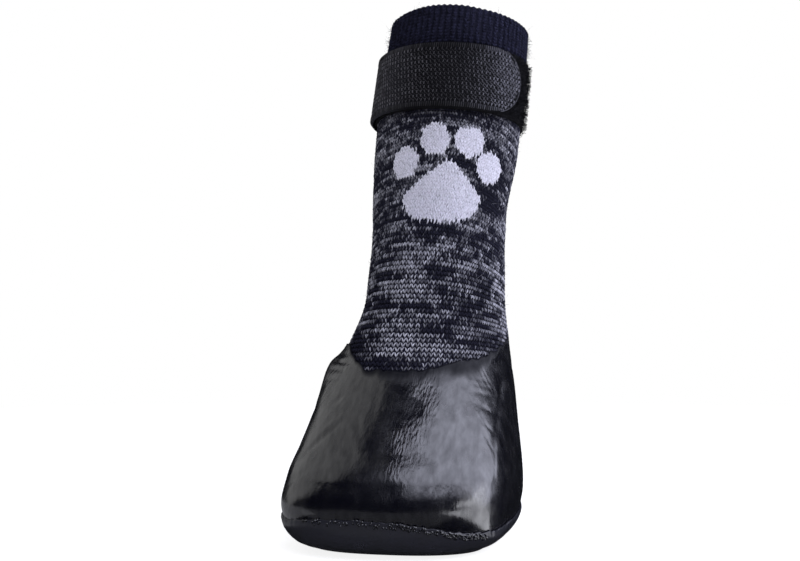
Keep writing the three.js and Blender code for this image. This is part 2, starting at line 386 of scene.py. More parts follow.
def new_node(tree, kind, values=None, links=None, operation=None):
    """A shader node with some of its inputs set and others linked, by their names or numbers."""
    node = tree.nodes.new("ShaderNode" + kind)
    if operation:
        node.operation = operation
    for name, value in (values or {}).items():
        node.inputs[name].default_value = value
    for name, socket in (links or {}).items():
        tree.links.new(socket, node.inputs[name])
    return node


def new_material(name, colour, roughness, specular=0.5):
    material = bpy.data.materials.new(name)
    material.use_nodes = True
    shader = material.node_tree.nodes["Principled BSDF"]
    shader.inputs["Base Color"].default_value = (*colour, 1)
    shader.inputs["Roughness"].default_value = roughness
    shader.inputs["Specular IOR Level"].default_value = specular
    return material, material.node_tree, shader


def grain(tree, cell, detail, stretch=(1, 1, 1)):
    """Noise whose hills are about cell millimetres across, longer along an axis whose stretch is below 1."""
    source = new_node(tree, "TexCoord")
    mapping = new_node(tree, "Mapping", {"Scale": stretch}, {"Vector": source.outputs["Object"]})
    sizes = {"Scale": 1 / (cell * MM), "Detail": detail}
    return new_node(tree, "TexNoise", sizes, {"Vector": mapping.outputs["Vector"]}).outputs["Fac"]


def remap(tree, value, low, high, from_low=0.3, from_high=0.7):
    ends = {"From Min": from_low, "From Max": from_high, "To Min": low, "To Max": high}
    return new_node(tree, "MapRange", ends, {"Value": value}).outputs["Result"]


def tinted(tree, value, low, high):
    """A colour between two others, by a value."""
    node = tree.nodes.new("ShaderNodeMix")
    node.data_type = "RGBA"
    colour_a, colour_b = [socket for socket in node.inputs if socket.type == "RGBA"]
    colour_a.default_value = (*low, 1)
    colour_b.default_value = (*high, 1)
    tree.links.new(value, node.inputs["Factor"])
    return next(socket for socket in node.outputs if socket.type == "RGBA")


def shaded(tree, colour, value):
    """A colour made lighter or darker by a value around 1."""
    links = {0: colour, "Scale": value}
    return new_node(tree, "VectorMath", links=links, operation="SCALE").outputs["Vector"]


def combined(tree, operation, first, second):
    return new_node(tree, "Math", links={0: first, 1: second}, operation=operation).outputs["Value"]


def add_bump(tree, shader, height, depth):
    """Bump of depth millimetres, laid over any bump that the shader already has."""
    links = {"Height": height}
    if shader.inputs["Normal"].is_linked:
        links["Normal"] = shader.inputs["Normal"].links[0].from_socket
    bump = new_node(tree, "Bump", {"Distance": depth * MM, "Strength": 1.0}, links)
    tree.links.new(bump.outputs["Normal"], shader.inputs["Normal"])


def painted_colour(tree):
    node = new_node(tree, "VertexColor")
    node.layer_name = COLOUR_NAME
    return node.outputs["Color"]


def painted_material(name, plain, roughness, specular, cell, detail, darkest, lightest, depth):
    """Yarn or tape in the colours painted on the mesh, or plain without them, with a grain over it."""
    material, tree, shader = new_material(name, plain, roughness, specular)
    fibres = grain(tree, cell, detail)
    fibrous = shaded(tree, painted_colour(tree), remap(tree, fibres, darkest, lightest))
    tree.links.new(fibrous, shader.inputs["Base Color"])
    add_bump(tree, shader, fibres, depth)
    return material


def yarn_material(name, roughness, specular):
    """Spun yarn with a fibrous grain."""
    return painted_material(name, (0.1, 0.1, 0.11), roughness, specular, cell=0.22, detail=4,
                            darkest=0.72, lightest=1.22, depth=0.06)


def tape_material():
    """The hook tape's dark ground behind its threads."""
    return painted_material("tape_ground", (0.009, 0.009, 0.01), 0.7, 0.06, cell=0.3, detail=3,
                            darkest=0.6, lightest=1.4, depth=0.05)


def rubber_material():
    """Dipped black rubber. The paint's red says how thick and glossy the film is, its green how wrinkled."""
    material, tree, shader = new_material("dipped_rubber", (0.0018, 0.0019, 0.0045), 0.2)
    shader.inputs["IOR"].default_value = 1.6
    paint = new_node(tree, "SeparateColor", links={"Color": painted_colour(tree)})
    film, streaky = paint.outputs["Red"], paint.outputs["Green"]
    blotches = remap(tree, grain(tree, 5, detail=6), 0.15, 0.3)
    dullness = remap(tree, film, 0.3, 0.0, 0.0, 1.0)
    tree.links.new(combined(tree, "ADD", blotches, dullness), shader.inputs["Roughness"])
    streaks = remap(tree, grain(tree, 1.6, detail=6, stretch=(1, 0.35, 0.35)), 0.55, 1.0)
    shine = remap(tree, film, 0.2, 1.0, 0.0, 1.0)
    tree.links.new(combined(tree, "MULTIPLY", streaks, shine), shader.inputs["Specular IOR Level"])
    add_bump(tree, shader, grain(tree, 2.6, detail=4, stretch=(1, 1, 0.5)), 0.06)
    add_bump(tree, shader, grain(tree, 0.7, detail=3, stretch=(1, 0.5, 0.5)), 0.035)
    wrinkles = grain(tree, 0.6, detail=1, stretch=(1, 0.26, 0.26))
    add_bump(tree, shader, combined(tree, "MULTIPLY", wrinkles, streaky), 0.26)
    return material


def sole_material():
    """The sole's thicker coat, smoother and a little duller."""
    material, tree, shader = new_material("sole_rubber", (0.0135, 0.0138, 0.0195), 0.3, 0.3)
    tree.links.new(remap(tree, grain(tree, 5, detail=4), 0.26, 0.46), shader.inputs["Roughness"])
    add_bump(tree, shader, grain(tree, 2.2, detail=3), 0.05)
    return material


def pile_material():
    """The loop tape's black pile."""
    material, tree, shader = new_material("loop_pile", (0.012, 0.012, 0.014), 0.95, 0.1)
    tufts = grain(tree, 0.8, detail=3)
    tint = tinted(tree, remap(tree, tufts, 0, 1), (0.0015, 0.0015, 0.002), (0.007, 0.007, 0.009))
    tree.links.new(tint, shader.inputs["Base Color"])
    add_bump(tree, shader, tufts, 0.15)
    return material


YARN = yarn_material("yarn", 0.92, 0.1)
THREAD = yarn_material("tape_thread", 0.6, 0.14)
RUBBER = rubber_material()
SOLE_RUBBER = sole_material()
PILE = pile_material()
TAPE = tape_material()


# The knit

WALES = 140  # columns of stitches round the leg
COURSES = 80  # rows of stitches, the lowest ones hidden by the rubber
COURSE_NUMBERS = (0, 25, 85)
COURSE_LEVELS = (46.0, 76.0, 136.0)
RISE_LEVELS = (55, 75, 90, 106, STRAP_LOW)
COURSE_RISES = (2.8, 3.6, 5.4, 6.4, 4.5)  # how much higher a row runs at the front
YARN_RADIUS = 0.25
BASE_OFFSET = -0.5  # the fabric behind the stitches
KNIT_PIECES = 3
STITCH_MIDDLE = 0.38  # of a course, about which a leg is stretched
LEG_MIDDLE = 0.24  # of a wale, from a stitch's middle to its leg's
UNDER_RUBBER, UNDER_STRAP = 3.0, 1.0  # how far stitches run on past the edges that hide them
PAW_STRAY = (0.2, 0.25)  # the paw's edge is ragged by a stitch or so
PAW_SWAY, SWAY_LEVEL, SWAY_HEIGHT = 0.9, 97, 13  # of the slack knit to the -X side

NAVY = np.array([0.0125, 0.0128, 0.026])
DARK_YARN = np.array([0.0165, 0.0168, 0.030])
LIGHT_YARN = np.array([0.51, 0.51, 0.575])
WHITE_YARN = np.array([0.70, 0.69, 0.765])

# One leg of a stitch, from its foot in the row below to its head under the row above: wales aside, courses
# along, height, girth and painted shade, darker at the leg's two ends
STITCH = np.array([
    [0.03, -0.14, -0.34, 0.7, 0.4],
    [0.16, 0.18, 0.00, 1.0, 1.0],
    [0.34, 0.57, -0.02, 1.0, 0.95],
    [0.48, 0.90, -0.36, 0.7, 0.4],
])
LEG_ASIDE, LEG_ALONG, LEG_LIFT, LEG_GIRTH, LEG_PAINTED_SHADE = STITCH.T
# Painted shade round a leg: its flanks and back are painted darker, standing in for the dark between the legs
SIDE_PAINTED_SHADE = np.array([0.5, 0.3, 0.5, 1.0])  # round a leg, whose flanks lie in the dark between the legs
STITCH_SIDES = len(SIDE_PAINTED_SHADE)
STITCH_FACES = tube_faces(len(STITCH), STITCH_SIDES, capped=True)

# Listed: share, level, half width, half height and depth or strength
HOLLOWS = ((0.74, 78, 0.1, 16, 0.5), (0.33, 65, 0.08, 9, 1.1))
SMEARS = ((0.658, 56.6, 0.043, 3.2, 0.88),)  # where rubber has soaked the knit above its edge

# The paw: the pad's half width at shares of its height, in mm from the front line
PAD_LOW, PAD_HIGH, PAD_ARC, PAD_LEAN = 88.0, 106.2, 4.6, 1.0
PAD_SHARES = (0, 0.06, 0.2, 0.36, 0.45, 0.62, 0.75, 0.87, 1)
PAD_HALF = (5.0, 8.2, 11.4, 12.8, 12.4, 8.6, 5.9, 3.9, 1.2)
# Its four toes: from the front line, level, half width, half height and tilt in degrees
TOES = np.array([
    [-8.0, 105.8, 4.6, 4.75, -4],
    [1.0, 112.6, 4.5, 4.95, -6],
    [11.9, 112.3, 4.9, 4.6, 8],
    [19.9, 105.4, 5.3, 4.6, 18],
])


def front_arc(share, level):
    return (share - 0.5) * ring_length(level)


def in_paw(share, level):
    arc = front_arc(share, level)
    height = (level - PAD_LOW) / (PAD_HIGH - PAD_LOW)
    aside = np.abs(arc - PAD_ARC - PAD_LEAN * height)
    inside = (height >= 0) & (height <= 1) & (aside < np.interp(height, PAD_SHARES, PAD_HALF))
    for toe_arc, toe_level, half_width, half_height, tilt in TOES:
        turn = math.radians(tilt)
        x, y = arc - toe_arc, level - toe_level
        across = (x * math.cos(turn) - y * math.sin(turn)) / half_width
        along = (x * math.sin(turn) + y * math.cos(turn)) / half_height
        inside = inside | (across ** 2 + along ** 2 < 1)
    return inside


def course_level(course, share):
    """The level of a row of stitches, which runs higher at the front than at the back."""
    base = np.interp(course, COURSE_NUMBERS, COURSE_LEVELS)
    rise = np.interp(base, RISE_LEVELS, COURSE_RISES)
    return base + rise * np.cos(FULL_TURN * (share - 0.5))


def knit_swell(share, level):
    """The slack knit's soft hills, its sway to the -X side at the paw and the hollows of its sides below."""
    sway = PAW_SWAY * np.cos(FULL_TURN * (share - 0.25)) * bell(level, SWAY_LEVEL, SWAY_HEIGHT)
    soft = 0.22 * noise(3, share, level, 9, 14) + 0.08 * noise(4, share, level, 30, 6)
    return sway - hills(HOLLOWS, share, level) + soft


def dip_waver(share):
    """The dip's uneven edge: higher on the front's -X side, in slow waves and ragged like the stitches."""
    slow = 0.8 * noise(11, share, 0.0, 14, 1) + 3.0 * bell(share, 0.385, 0.06)
    ragged = 0.5 * noise(12, share, 0.0, 52, 1) + 0.35 * noise(13, share, 0.0, 130, 1)
    return slow + ragged


def dip_height(share, point):
    """How far a point lies above the rubber's upper edge."""
    return point[..., 2] - (DIP_HEIGHT + (point[..., 1] - ANKLE_Y) * DIP_SLOPE + dip_waver(share))


def clean_and_unshaded(share, level, rng):
    """How clean and unshaded the yarn is: little where rubber has soaked it, and darker under the strap's
    edge by a painted shadow.
    """
    above = dip_height(share, skin(share, level)[0]) + rng.normal(0, 0.5, share.shape)
    unsmeared = smooth(above, -1.2, 2.0) * (1 - hills(SMEARS, share, level))
    # Painted shadow below the strap's lower edge
    return unsmeared * (0.3 + 0.7 * smooth(STRAP_LOW - level, 0.2, 2.8))


def row_runs(wale, course, cells, rng):
    """Random lightness that runs along each row of stitches and starts anew in the next."""
    values = rng.normal(size=(COURSES, cells))
    x = wale / WALES * cells + cells * rng.random(COURSES)[course]
    i = np.floor(x).astype(int)
    fx = smooth(x - i, 0, 1)
    return values[course, i % cells] * (1 - fx) + values[course, (i + 1) % cells] * fx


# Where the front's yarn runs lighter or darker: from the front line, level, half width and height, change
PATCHES = np.array([
    [4.0, 84.5, 11.0, 3.0, -0.9],
    [15.5, 80.5, 4.0, 3.0, -0.8],
    [15.5, 86.5, 5.0, 2.5, 0.5],
    [17.0, 75.0, 5.0, 3.0, 0.7],
    [0.5, 78.5, 9.0, 2.6, 0.7],
    [6.0, 73.5, 7.0, 2.4, -0.6],
    [-2.0, 69.0, 9.0, 2.4, 0.6],
    [24.0, 70.0, 6.0, 14.0, -0.5],
    [9.0, 63.5, 9.0, 2.2, -0.3],
    [24.0, 98.0, 6.0, 10.0, -0.6],
    [-20.0, 108.0, 6.0, 10.0, -0.25],
    [-2.0, 59.0, 9.0, 2.2, 0.95],
    [1.0, 53.5, 15.0, 2.2, 1.2],
    [-14.0, 66.0, 5.0, 5.0, -0.3],
    [-15.0, 56.0, 6.0, 5.0, -0.7],
    [-14.0, 51.0, 5.0, 2.5, -0.8],
    [-7.0, 50.3, 7.0, 1.4, -1.2],
    [-20.0, 52.3, 7.0, 2.4, -1.3],
    [9.5, 50.2, 5.0, 1.2, 0.7],
    [25.0, 52.3, 9.0, 1.6, 1.1],
])


def hand_patches(share, level):
    darker_up = 0.12 * smooth(level, 56, 66) + 0.3 * smooth(level, 80, 92)
    return hills(PATCHES, front_arc(share, level), level) - darker_up


def yarn_shade(wale, course, rng):
    """Space-dyed heather yarn: how light each leg is, in runs along the rows, in patches and leg by leg."""
    share = wale / WALES
    level = course_level(course, share)
    by_paw = smooth(level, 82, 96)
    mixed = 0.45 + 0.55 * by_paw  # round the paw the shades change leg by leg
    run = 0.55 * row_runs(wale, course, 16, rng) + 0.45 * row_runs(wale, course, 44, rng)
    patch = noise(21, share + 0.005 * course, course, 9, 6.0)
    patch = patch + 0.5 * noise(22, share - 0.004 * course, course, 24, 3.0)
    single = rng.normal(size=wale.shape)
    value = (1 - 0.15 * mixed) * run + 0.4 * patch + (0.42 + 0.06 * mixed) * single
    blend = 0.12 + 0.18 * by_paw
    return smooth(value + hand_patches(share, level), -0.6 - blend, 0.9 + blend)


def painted_leg_shade(count, rng):
    """Painted shade over each point of many stitch legs: darker on their flanks, backs and ends."""
    rings = LEG_PAINTED_SHADE * rng.uniform(0.75, 1.15, (count, len(STITCH)))
    return (rings[..., None] * SIDE_PAINTED_SHADE).reshape(count, -1, 1)


def yarn_legs(share_at, level_at, radius, height, pitch, rng):
    """Tube rings of stitch legs. share_at and level_at turn wales aside and courses along into places."""
    count = len(radius)
    along = LEG_ALONG + rng.normal(0, 0.05, (count, 1))
    girth = radius[:, None] * LEG_GIRTH
    lift = height[:, None] + LEG_LIFT + rng.normal(0, 0.04, (count, 1))
    aside = np.stack([girth / pitch[:, None], 0 * girth, -girth / pitch[:, None], 0 * girth], axis=-1)
    raised = np.stack([0 * girth, -0.85 * girth, 0 * girth, 0.85 * girth], axis=-1)
    share = share_at(LEG_ASIDE[None, :, None], aside)
    level = level_at(along[..., None], share)
    offset = lift[..., None] + raised + knit_swell(share, level)
    return skin_at(share, level, offset).reshape(count, -1, 3)


def flat_grid(*axes):
    """Every pairing of some numbers, one flat array for each of them."""
    return [a.ravel() for a in np.meshgrid(*axes, indexing="ij")]


def leg_stitches():
    """Every stitch of the leg that shows above the rubber and below the strap, in a few pieces."""
    rng = np.random.default_rng(7)
    course, wale, side = np.meshgrid(np.arange(COURSES), np.arange(WALES), [-1, 1], indexing="ij")
    shade = yarn_shade(wale, course, rng)
    course, wale, side, shade = [a.ravel() for a in (course, wale, side, shade)]
    share = (wale + 0.5) / WALES
    level = course_level(course + 0.4, share)
    shown = (dip_height(share, skin(share, level)[0]) > -UNDER_RUBBER) & (level < STRAP_LOW + UNDER_STRAP)
    course, wale, side, shade, share, level = [a[shown] for a in (course, wale, side, shade, share, level)]
    count = len(wale)
    pitch = ring_length(level) / WALES
    leg_share = share + side * LEG_MIDDLE / WALES
    stray = rng.normal(0, PAW_STRAY, (count, 2))
    paw = in_paw(leg_share + stray[:, 0] / (WALES * pitch), level + stray[:, 1])
    jitter = rng.normal(0, 0.05, count)
    radius = YARN_RADIUS * rng.uniform(0.88, 1.1, count) * np.where(paw, 1.08, 1)
    height = np.where(paw, 0.03, 0.0)
    reach = 1 + 0.3 * smooth(level, 70, 88) + 0.3 * paw  # the legs stand taller and closer up the leg
    clean_unshaded = clean_and_unshaded(share, level, rng)

    def share_at(aside_path, aside_ring):
        place = wale + 0.5 + jitter
        return (place[:, None, None] + side[:, None, None] * aside_path + aside_ring) / WALES

    def level_at(along, place):
        middle = course[:, None, None] + STITCH_MIDDLE
        return course_level(middle + (along - STITCH_MIDDLE) * reach[:, None, None], place)

    points = yarn_legs(share_at, level_at, radius, height, pitch, rng)
    tone = rng.uniform(0.5, 1.2, count)[:, None]
    # Dark where rubber soaked the yarn, and under the strap's painted shadow
    grey = DARK_YARN + (LIGHT_YARN * tone - DARK_YARN) * (shade * (0.1 + 0.9 * clean_unshaded))[:, None]
    # Painted light on the white paw: paler towards its top and its +X side
    paw_painted_light = 0.92 + 0.08 * smooth(level, 90, 110) + 0.09 * smooth(front_arc(share, level), 0, 12)
    white = WHITE_YARN * paw_painted_light[:, None] * rng.uniform(0.9, 1.06, (count, 1))
    # Painted shade on every leg; the white paw's legs take less of it
    painted_shading = painted_leg_shade(count, rng)
    painted_shading = np.where(paw[:, None, None], 0.68 + 0.32 * painted_shading, painted_shading)
    colours = np.where(paw[:, None], white, grey)[:, None, :] * painted_shading
    for i, part in enumerate(np.array_split(np.arange(count), KNIT_PIECES)):
        make_many(f"knit_stitches_{i + 1}", points[part], STITCH_FACES, YARN, colours[part])


def knit_base():
    """The fabric behind the stitches: the whole tube with its inside and its closed foot."""
    columns, top = 128, LEG_TOP - 2.2
    outer = np.concatenate([[KNIT_BOTTOM], np.linspace(4, 40, 9), np.linspace(42, top, 78)])
    inner = np.concatenate([np.linspace(top, 10, 50), [6, 4, KNIT_BOTTOM]])
    level = np.concatenate([outer, inner])[:, None] + np.zeros(columns)
    share = even_shares(columns) + np.zeros(level.shape)
    is_outer = (np.arange(len(level)) < len(outer))[:, None]
    points = skin_at(share, level, np.where(is_outer, BASE_OFFSET, -KNIT_WALL) + knit_swell(share, level))
    points[0, :, 2] = KNIT_BOTTOM
    points[-1, :, 2] = KNIT_BOTTOM + KNIT_WALL
    white = (in_paw(share, level) & is_outer)[..., None]
    inside_grey = DARK_YARN + 0.05 * (1 + noise(31, share, level, 40, 1.6))[..., None]
    # Under the paw the fabric is white dimmed by painted shade, like the shaded flanks of the white legs
    colours = np.where(white, 0.75 * WHITE_YARN, DARK_YARN)
    colours = np.where(is_outer[..., None], colours, inside_grey)
    piece = make_wall("knit_base", points, YARN, colours, capped=True)
    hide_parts("knit_sock")


# The ribbed cuff

RIBS = 70
RIB_COURSE = 0.98
RIB_DEPTH = 0.35
RIM_DROP, RIM_CREST = 1.8, 2.0  # how far the soft rim sinks, and how much less at the front


def cuff_level(share, level):
    """A level of the cuff, whose soft rim stands higher at the front than at the sides."""
    rim = -RIM_DROP + RIM_CREST * bell(share, 0.455, 0.16) + 0.15 * noise(32, share, 0.0, 24, 1)
    return level + rim * smooth(level, CUFF_LOW, LEG_TOP)


def cuff_painted_highlight(share):
    """Painted highlight: the cuff's yarn is painted paler on the front's +X side, where the light falls."""
    return 1 + 0.5 * bell(share, 0.66, 0.08)


def cuff_wall():
    """The cuff's wall: ribs outside and inside, and a rim that rolls over with a bump on each rib."""
    share = even_shares(RIBS * 8)
    rib = 0.5 + 0.5 * np.cos(FULL_TURN * (RIBS * share - 0.5))
    low, high = CUFF_LOW - 1.0, LEG_TOP - 1.2
    outside, inside = CUFF_STEP - 0.3, -KNIT_WALL - 0.2
    rows = []
    for level in np.linspace(low, high, 11):
        rows.append(skin_at(share, cuff_level(share, level), outside - RIB_DEPTH * (1 - rib)))
    point, normal, up = skin(share, cuff_level(share, high))
    middle, half = (outside + inside) / 2, (outside - inside) / 2
    for turn in np.linspace(0, math.pi, 9)[1:-1]:
        out = middle + (half - 0.5 * RIB_DEPTH * (1 - rib)) * math.cos(turn)
        rise = math.sin(turn) * (1.35 + 0.35 * rib)
        rows.append(point + normal * out[:, None] + up * rise[:, None])
    for level in np.linspace(high, low, 8):
        rows.append(skin_at(share, cuff_level(share, level), inside + 0.2 * (1 - rib)))
    points = np.stack(rows)
    # Painted shade darkens the grooves between the ribs; the +X front is paler by a painted highlight
    colours = np.broadcast_to(NAVY, points.shape) * ((0.6 + 0.55 * rib) * cuff_painted_highlight(share))[None, :, None]
    make_wall("knit_cuff", points, YARN, colours)


def cuff_stitches():
    """A column of stitches up each rib."""
    rng = np.random.default_rng(8)
    rows = int((LEG_TOP - CUFF_LOW) / RIB_COURSE) + 1
    course, rib, side = flat_grid(np.arange(rows), np.arange(RIBS), [-1, 1])
    count = len(rib)
    level = CUFF_LOW - 0.6 + RIB_COURSE * course
    pitch = ring_length(level) / RIBS
    radius = 0.32 * rng.uniform(0.8, 1.15, count)
    jitter = rng.normal(0, 0.045, count)

    def share_at(aside_path, aside_ring):
        place = (rib + 0.5 + jitter)[:, None, None]
        return (place + side[:, None, None] * aside_path * 0.55 + aside_ring) / RIBS

    def level_at(along, place):
        return cuff_level(place, np.minimum(level[:, None, None] + RIB_COURSE * along, LEG_TOP - 0.35))

    points = yarn_legs(share_at, level_at, radius, np.full(count, 0.3), pitch, rng)
    # Paler on the front's +X side by a painted highlight
    tone = rng.uniform(0.6, 1.9, (count, 1)) * cuff_painted_highlight((rib + 0.5) / RIBS)[:, None]
    colours = (NAVY * tone)[:, None, :] * (0.5 + 0.5 * painted_leg_shade(count, rng))
    make_many("cuff_stitches", points, STITCH_FACES, YARN, colours)


def knit_fuzz():
    """Loose fibres that stand off the cuff and the leg."""
    rng = np.random.default_rng(9)
    count, sides = 2300, 3
    tapers = np.array([1, 0.8, 0.25])[None, :, None, None]
    on_cuff = rng.random(count) < 0.65
    share = rng.random(count)
    level = rng.uniform(CUFF_LOW, LEG_TOP - 0.8, count)
    level = np.where(on_cuff, level, rng.uniform(66, STRAP_LOW, count))
    level = np.where(on_cuff, cuff_level(share, level), level)
    point, across, up, normal = skin_frames(share, level)
    length = (rng.gamma(3.0, 0.3, count) * np.where(on_cuff, 1.25, 0.9))[:, None, None]
    bend = rng.normal(0, 0.9, (count, 1, 2))
    along = np.linspace(0, 1, tapers.size)[None, :, None]
    foot = np.where(on_cuff, 0.3, knit_swell(share, level) - 0.2)[:, None, None]
    sweep = along * (0.3 + 0.7 * along) * length
    path = point + normal * foot + along * length * normal * 0.8
    path = path + sweep * (bend[..., :1] * across + bend[..., 1:] * up) * 0.8
    points = tubes(path, 0.045 * tapers, across, up, sides)
    tone = rng.uniform(0.5, 1.6, (count, 1))
    colours = np.where(on_cuff[:, None], NAVY * 2.0 * tone, LIGHT_YARN * 0.35 * tone)
    make_many("knit_fuzz", points, tube_faces(tapers.size, sides, capped=False), YARN, colours)


# The rubber foot

FILM = 0.35  # the rubber's outer face at its thin upper edge
RUBBER_INNER = -0.35  # its inner face, within the fabric
THINNING = 18  # how far below its edge it is as thick as the solid
UNDER_SOLE = 1.2  # how far it runs on behind the sole's rim
FOLDS = ((0.335, 48, 0.045, 7, 2.2),)  # where the rubber stands off the ankle

# Creases: share and level from one place to another, width and height (below zero is a trough)
CREASES = np.array([
    [0.452, 36.0, 0.414, 27.5, 0.9, -0.26],
    [0.456, 38.0, 0.418, 29.8, 1.3, 0.14],
    [0.432, 33.0, 0.398, 24.0, 0.9, -0.22],
    [0.437, 34.8, 0.404, 25.8, 1.2, 0.12],
    [0.424, 22.5, 0.384, 17.2, 0.9, -0.2],
    [0.440, 42.5, 0.420, 39.0, 0.8, -0.16],
    [0.340, 49.5, 0.455, 50.6, 0.8, -0.18],
    [0.350, 47.4, 0.440, 48.6, 0.8, -0.16],
    [0.330, 51.6, 0.410, 52.4, 0.7, -0.14],
    [0.360, 44.6, 0.425, 46.6, 0.8, -0.12],
    [0.600, 47.3, 0.655, 44.9, 0.7, -0.08],
    [0.604, 45.5, 0.655, 43.4, 0.6, -0.07],
    [0.610, 43.2, 0.655, 41.2, 0.7, -0.08],
    [0.613, 39.8, 0.650, 36.6, 0.7, -0.08],
    [0.619, 36.0, 0.642, 31.6, 0.7, -0.08],
    [0.621, 32.6, 0.638, 26.8, 0.7, -0.07],
    [0.642, 30.0, 0.636, 20.0, 0.9, -0.06],
    [0.700, 44.0, 0.640, 30.0, 1.4, -0.25],
    [0.720, 48.0, 0.655, 36.0, 1.4, -0.2],
    [0.290, 46.0, 0.370, 34.0, 1.5, -0.25],
    [0.270, 40.0, 0.345, 28.0, 1.5, -0.2],
    [0.930, 54.0, 0.070, 53.0, 1.6, -0.3],
    [0.900, 48.0, 0.080, 49.5, 1.6, -0.25],
    [0.150, 50.0, 0.230, 44.0, 1.5, -0.22],
    [0.850, 51.0, 0.780, 43.0, 1.5, -0.22],
])


def crease_relief(share, level):
    relief = np.zeros(np.broadcast(share, level).shape)
    for from_share, from_level, to_share, to_level, width, height in CREASES:
        length = ring_length((from_level + to_level) / 2)
        x = ((share - from_share + 0.5) % 1 - 0.5) * length
        y = level - from_level
        end_x = ((to_share - from_share + 0.5) % 1 - 0.5) * length
        end_y = to_level - from_level
        along = np.clip((x * end_x + y * end_y) / (end_x ** 2 + end_y ** 2), 0, 1)
        distance = np.hypot(x - along * end_x, y - along * end_y)
        fade = np.sin(math.pi * (0.1 + 0.8 * along))
        relief += height * fade * bell(distance, 0, width)
    return relief


def stitch_relief(share, level, below_edge):
    """The knit showing through the rubber: strong on the flanks and the heel, faint on the front."""
    flank = smooth(np.abs(share - 0.5), 0.13, 0.22)
    patches = smooth(noise(41, share, level, 18, 9), -0.4, 0.5)
    broken = 0.35 + 0.65 * smooth(noise(46, share, level, 90, 2.6), -0.3, 0.4)
    strength = 0.07 * flank * (0.5 + 0.5 * patches) + 0.01 * patches
    strength = strength + 0.05 * smooth(below_edge, 5, 0.5) * broken
    wale = WALES * (share - 0.0012 * level) + 0.4 * noise(42, share, level, 60, 3)
    course = level / 1.3 + 0.3 * noise(43, share, level, 60, 3)
    weave = np.cos(FULL_TURN * wale) * (0.4 + 0.6 * np.cos(FULL_TURN * (course + 0.5 * np.round(wale))))
    return strength * weave


def wrinkled(share, level):
    """Where the rubber is finely wrinkled: down the middle of the front and faintly over the toe."""
    middle = bell(share - 0.0007 * level, 0.509, 0.018) * smooth(level, 16, 26)
    toe = 0.4 * bell(share, 0.54, 0.06) * bell(level, 16, 5)
    broken = 0.3 + 0.7 * smooth(noise(47, share, level, 60, 4), -0.3, 0.4)
    return np.maximum(middle, toe) * broken


def hairlines(share, level):
    """Fine wrinkles with the rubber's flow: up the left flank and by the dip, down the right shoulder."""
    left = bell(share, 0.40, 0.035) + bell(share, 0.43, 0.05) * bell(level, 47, 5)
    right = bell(share, 0.64, 0.03) * smooth(level, 16, 26)
    up_left = noise(71, share - 0.003 * level, level, 280, 8)
    down_right = noise(72, share + 0.0035 * level, level, 280, 8)
    patches = smooth(noise(73, share, level, 44, 5), -0.35, 0.45)
    return 0.075 * patches * (left * up_left + right * down_right)


def rubber_edge(share):
    """The level of the rubber's uneven upper edge."""
    level = np.full(share.shape, DIP_HEIGHT)
    for _ in range(6):
        level = level - dip_height(share, skin_at(share, level, 0.6))
    return level


def rubber_shell():
    """The dipped shell from under the sole's rim to its thin ragged edge, with its inner face."""
    columns, rows = 660, 98
    ring = even_shares(columns)[None, :]
    low, top = sole_rim(ring) - UNDER_SOLE, rubber_edge(ring)
    climb = np.linspace(0, 1, rows)[:, None] ** 0.92
    level = low + (top - low) * climb
    share = np.broadcast_to(ring, level.shape)
    below_edge = top - level
    thickness = FILM + (RUBBER_OUTER - FILM) * smooth(below_edge, 0, THINNING)
    fold = hills(FOLDS, share, level) * smooth(below_edge, -0.5, 6)
    even = 1 - 0.85 * bell(share, 0.515, 0.028)
    lumps = even * (0.13 * noise(44, share, level, 26, 9) + 0.06 * noise(45, share, level, 64, 4))
    fine = crease_relief(share, level) + stitch_relief(share, level, below_edge) + hairlines(share, level)
    relief = lumps * smooth(below_edge, 0, 4) + fine * smooth(below_edge, 0, 1.5)
    faces = [skin_at(share, level, thickness + fold + relief)]
    for rise, offset in ((0.1, -0.05), (0.05, -0.2), (0.0, RUBBER_INNER)):
        faces.append(skin_at(ring, top + rise, offset))
    for down in np.linspace(0.15, 1, 7):
        faces.append(skin_at(ring, top + (low - top) * down, RUBBER_INNER))
    points = np.concatenate(faces)
    is_front = np.exp(-((share - 0.575) / 0.1) ** 4)
    soaked = 0.8 + 1.5 * bell(share, 0.62, 0.035) + 0.8 * noise(48, share, level, 70, 3)
    paint = np.zeros(points.shape)
    paint[:rows, :, 0] = smooth(below_edge - is_front * soaked, 0, 1.2 + 3.0 * is_front)
    paint[:rows, :, 1] = wrinkled(share, level)
    piece = make_wall("rubber_shell", points, RUBBER, paint)
    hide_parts("rubber_foot")


# The sole

# Its line dips on the +X side: degrees round the foot from the +X side, by way of the back, and the dip
SOLE_ANGLES = (90, 219, 244, 268, 290, 306, 319, 332, 345, 375, 410, 450)
SOLE_DIPS = (0, -0.3, 0.7, 1.1, 0.1, -1.3, -2.2, -2.8, -3.0, -2.4, -1.0, 0)
SOLE_INNER = 0.3
SOLE_CLIMBS = (0, 0.015, 0.037, 0.074, 0.12, 0.18, 0.26, 0.38, 0.53, 0.7, 0.85, 1)
SOLE_RIM = ((0.6, 0.15), (0.25, 0.28), (0.05, 0.45), (0.0, 0.6), (0.1, 0.8), (0.5, 0.9))  # down and in


def sole_rim(share):
    """The level of the sole's uneven upper edge."""
    angle = np.degrees(angle_at(share, np.full(share.shape, SOLE_LINE)))
    waver = 0.22 * noise(51, share, 0.0, 40, 1) + 0.2 * noise(52, share, 0.0, 230, 1)
    return SOLE_LINE + np.interp(angle, SOLE_ANGLES, SOLE_DIPS) + waver


def sole_proud(level):
    """How far the sole's outer face stands off the knit."""
    return KNIT_BOTTOM + (SOLE_PROUD - KNIT_BOTTOM) * (level - KNIT_BOTTOM) / (SOLE_LINE - KNIT_BOTTOM)


